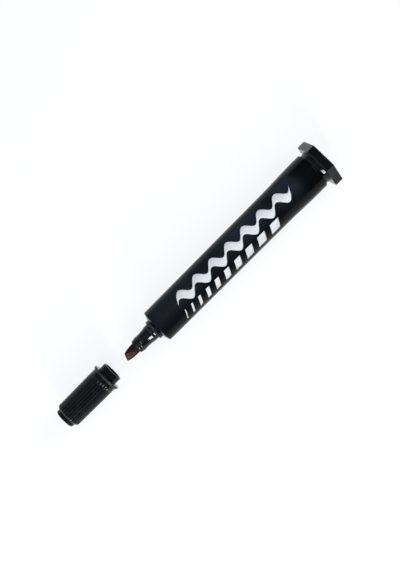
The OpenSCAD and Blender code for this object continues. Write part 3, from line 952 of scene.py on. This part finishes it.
def white_laminate(name):
    """White table laminate, matt. A glow for straight, mirrored and refracted views keeps it white."""
    material, tree, output = new_material(name)
    path = add(tree, "ShaderNodeLightPath").outputs
    seen = add(tree, "ShaderNodeMath", {"operation": "MAXIMUM"},
               links={0: path["Is Camera Ray"], 1: path["Is Glossy Ray"]})
    seen = add(tree, "ShaderNodeMath", {"operation": "MAXIMUM"},
               links={0: seen.outputs[0], 1: path["Is Transmission Ray"]})
    strength = add(tree, "ShaderNodeMath", {"operation": "MULTIPLY"}, {1: FLOOR_GLOW}, {0: seen.outputs[0]})
    paint = add(tree, "ShaderNodeBsdfDiffuse", values={"Color": grey(FLOOR_WHITE)})
    glow = add(tree, "ShaderNodeEmission", links={"Strength": strength.outputs[0]})
    both = add(tree, "ShaderNodeAddShader", links={0: paint.outputs[0], 1: glow.outputs[0]})
    tree.links.new(both.outputs[0], output.inputs[0])
    return material


def table():
    """White sweep: a flat disc under the hexagon, whose edge turns up in a quarter circle."""
    turn = np.linspace(0, pi / 2, COVE_ROWS)
    reach = np.concatenate([[SWEEP_R / 2], SWEEP_R + COVE_R * np.sin(turn)])[:, None]
    rise = np.concatenate([[0], COVE_R * (1 - np.cos(turn))])[:, None]
    rows = np.stack([reach * np.cos(ALL_ROUND), reach * np.sin(ALL_ROUND),
                     FLOOR_Z + rise * np.ones(AROUND)], -1)
    points = np.concatenate([[(0, 0, FLOOR_Z)], rows.reshape(-1, 3)])
    corner = np.arange(1, len(points)).reshape(rows.shape[:2])
    quads = faces_of(np.concatenate([np.zeros((1, AROUND), int), corner]), False)[:, ::-1]
    meshed("table_sweep", points, quads, white_laminate("white_table_laminate"))


def studio():
    """Dim surround with two bluish arches over the marker, dark behind the tail and dimmer towards +Y."""
    # Takes each part of a direction from -1 to 1 into 0 to 1
    half = (0.5, 0.5, 0.5)
    world = bpy.data.worlds.new("studio")
    bpy.context.scene.world = world
    world.use_nodes = True
    tree = world.node_tree
    tree.nodes.clear()
    way = add(tree, "ShaderNodeTexCoord").outputs["Generated"]
    shift = add(tree, "ShaderNodeVectorMath", {"operation": "MULTIPLY_ADD"}, {1: half, 2: half}, {0: way})
    split = add(tree, "ShaderNodeSeparateXYZ", links={0: shift.outputs[0]}).outputs
    along = add(tree, "ShaderNodeValToRGB", links={"Fac": split["X"]},
                stops=[(place, (*light, 1.0)) for place, light in SURROUND_ALONG])
    across = add(tree, "ShaderNodeValToRGB", links={"Fac": split["Y"]},
                 stops=[(place, grey(share)) for place, share in SURROUND_ACROSS])
    colour = add(tree, "ShaderNodeVectorMath", {"operation": "MULTIPLY"},
                 links={0: along.outputs[0], 1: across.outputs[0]})
    back = add(tree, "ShaderNodeBackground", links={"Color": colour.outputs[0]})
    add(tree, "ShaderNodeOutputWorld", {"is_active_output": True}, links={0: back.outputs[0]})


def lamp(name, place, target, width, height, radiance):
    """Soft rectangular lamp at a place, facing a target, in metres.

    Its width lies as nearly along the marker as it can. Its power is radiance times pi times area.
    """
    light = bpy.data.lights.new(name, "AREA")
    light.shape = "RECTANGLE"
    light.size = width
    light.size_y = height
    light.energy = radiance * pi * width * height
    made = bpy.data.objects.new(name, light)
    bpy.context.scene.collection.objects.link(made)
    way = (Vector(place) - Vector(target)).normalized()
    across = (Vector((1, 0, 0)) - way * way.x).normalized()
    turn = Matrix((across, way.cross(across), way)).transposed().to_4x4()
    made.matrix_world = Matrix.Translation(Vector(place)) @ turn


def camera():
    """Camera above the marker, leaning a little to +Y and rolled so that the marker crosses the frame."""
    back = Vector((0, sin(VIEW_TILT), cos(VIEW_TILT)))
    aside = Vector((0, cos(VIEW_TILT), -sin(VIEW_TILT)))
    along = Vector((1, 0, 0))
    right = along * cos(VIEW_ROLL) + aside * sin(VIEW_ROLL)
    up = aside * cos(VIEW_ROLL) - along * sin(VIEW_ROLL)
    data = bpy.data.cameras.new("photo_view")
    data.sensor_width = VIEW_SENSOR
    data.lens = VIEW_LENS
    made = bpy.data.objects.new("photo_view", data)
    bpy.context.scene.collection.objects.link(made)
    turn = Matrix((right, up, back)).transposed().to_4x4()
    place = along * VIEW_ALONG + aside * VIEW_ASIDE + back * VIEW_DISTANCE
    made.matrix_world = Matrix.Translation(place) @ turn
    bpy.context.scene.camera = made


table()
studio()
lamp("key_lamp", place=(0.518, 0.96, 0.596), target=(0.11, 0, 0), width=0.09, height=0.72, radiance=36.0)
lamp("tail_lamp", place=(-0.45, 0.08, 0.42), target=(0.08, 0, 0), width=0.45, height=0.45, radiance=3.2)
lamp("nib_lamp", place=(0.62, 0.1, 0.45), target=(0.1, 0, 0), width=0.6, height=0.6, radiance=1.0)
camera()
bpy.context.scene.view_settings.view_transform = "Standard"
